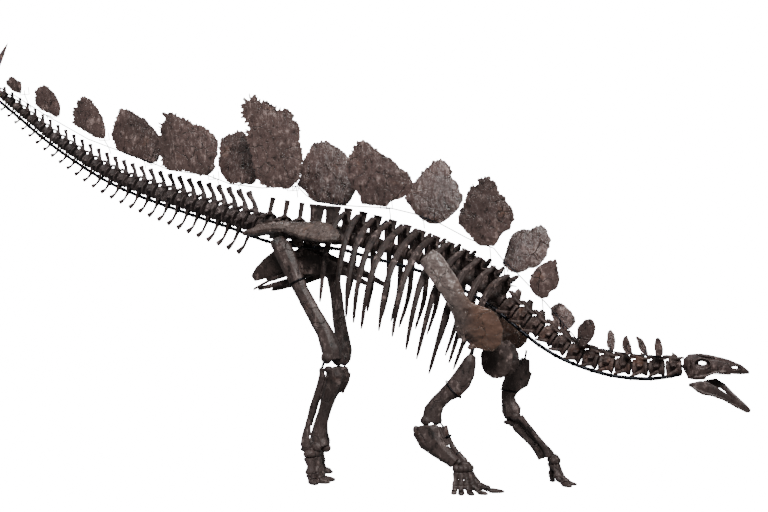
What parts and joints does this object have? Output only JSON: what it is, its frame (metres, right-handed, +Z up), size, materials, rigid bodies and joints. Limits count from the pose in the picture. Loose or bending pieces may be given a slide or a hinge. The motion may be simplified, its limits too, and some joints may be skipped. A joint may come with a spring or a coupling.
{
  "type": "mounted stegosaurus skeleton",
  "caption": "Life-size mounted skeleton of a plated dinosaur walking with its head low and tail raised, with tall back plates, paired tail spikes and a steel bar under the spine.",
  "frame": {"origin": "on the ground at the middle of the whole skeleton's length and width: the centre of the bottom of its bounding box", "axes": "+X towards the head along the body, +Y towards the animal's left side, +Z up"},
  "size_m": [5.9835, 0.9226, 3.2069],
  "materials": {
    "plate_bone": "grey-brown mineralised bone, matte, finely grooved, with worn paler patches",
    "spike_bone": "dark grey-brown mineralised bone, smoother towards the point",
    "bone_dark": "dark brown-black mineralised bone with a thin satin consolidant coat",
    "bone_rust": "dark bone with rust-brown iron staining, satin",
    "head_bone": "brown mineralised skull bone, satin",
    "steel": "blued dark steel bar and wire, satin"
  },
  "bodies": {
    "root": {"femur_left": "bone_dark", "femur_right": "bone_dark", "fibula_left": "bone_dark", "fibula_right": "bone_dark", "foot_left": "bone_dark", "foot_right": "bone_dark", "hand_left": "bone_dark", "hand_right": "bone_dark", "humerus_left": "bone_dark", "humerus_right": "bone_dark", "ilium_left": "bone_dark", "ilium_right": "bone_dark", "ischium_left": "bone_rust", "ischium_right": "bone_rust", "mandible": "head_bone", "neck": "bone_dark", "plate_01": "plate_bone", "plate_02": "plate_bone", "plate_03": "plate_bone", "plate_04": "plate_bone", "plate_05": "plate_bone", "plate_06": "plate_bone", "plate_07": "plate_bone", "plate_08": "plate_bone", "plate_09": "plate_bone", "plate_10": "plate_bone", "plate_11": "plate_bone", "plate_12": "plate_bone", "plate_13": "plate_bone", "plate_14": "plate_bone", "plate_15": "plate_bone", "plate_16": "plate_bone", "plate_17": "plate_bone", "plate_18": "plate_bone", "plate_19": "plate_bone", "plate_wires": "steel", "pubis_left": "bone_rust", "pubis_right": "bone_rust", "radius_left": "bone_dark", "radius_right": "bone_dark", "sacrum": "bone_dark", "scapula_left": "bone_rust", "scapula_right": "bone_rust", "skull": "head_bone", "sternal_left": "bone_dark", "sternal_right": "bone_dark", "support_bar": "steel", "tail_base": "bone_rust", "tail_end": "bone_dark", "tail_middle": "bone_dark", "tail_spike_1_left": "spike_bone", "tail_spike_1_right": "spike_bone", "tail_spike_2_left": "spike_bone", "tail_spike_2_right": "spike_bone", "tibia_left": "bone_dark", "tibia_right": "bone_dark", "trunk_left": "bone_dark", "trunk_right": "bone_dark", "ulna_left": "bone_dark", "ulna_right": "bone_dark"}
  },
  "joints": []
}
